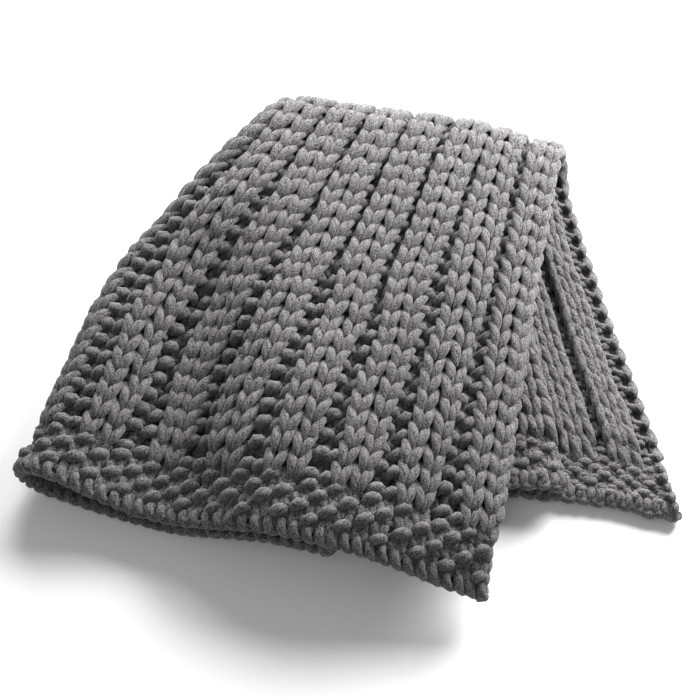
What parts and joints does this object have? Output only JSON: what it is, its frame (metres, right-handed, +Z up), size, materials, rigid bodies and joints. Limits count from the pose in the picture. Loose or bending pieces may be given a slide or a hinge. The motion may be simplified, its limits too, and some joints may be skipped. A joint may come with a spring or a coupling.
{
  "type": "chunky knit blanket",
  "caption": "Thick grey ribbed knit blanket with moss stitch ends, one side turned under and the whole folded over a soft crest.",
  "frame": {"origin": "on the floor, under the middle of the folded blanket's bounding box", "axes": "+Z up from the floor, -Y towards the front hem that lies on top, +X towards the side where the back half comes out"},
  "size_m": [1.0474, 0.8824, 0.1624],
  "materials": {
    "yarn": "matt, soft, heathered mid grey yarn"
  },
  "bodies": {
    "root": {"blanket": "yarn"}
  },
  "joints": []
}
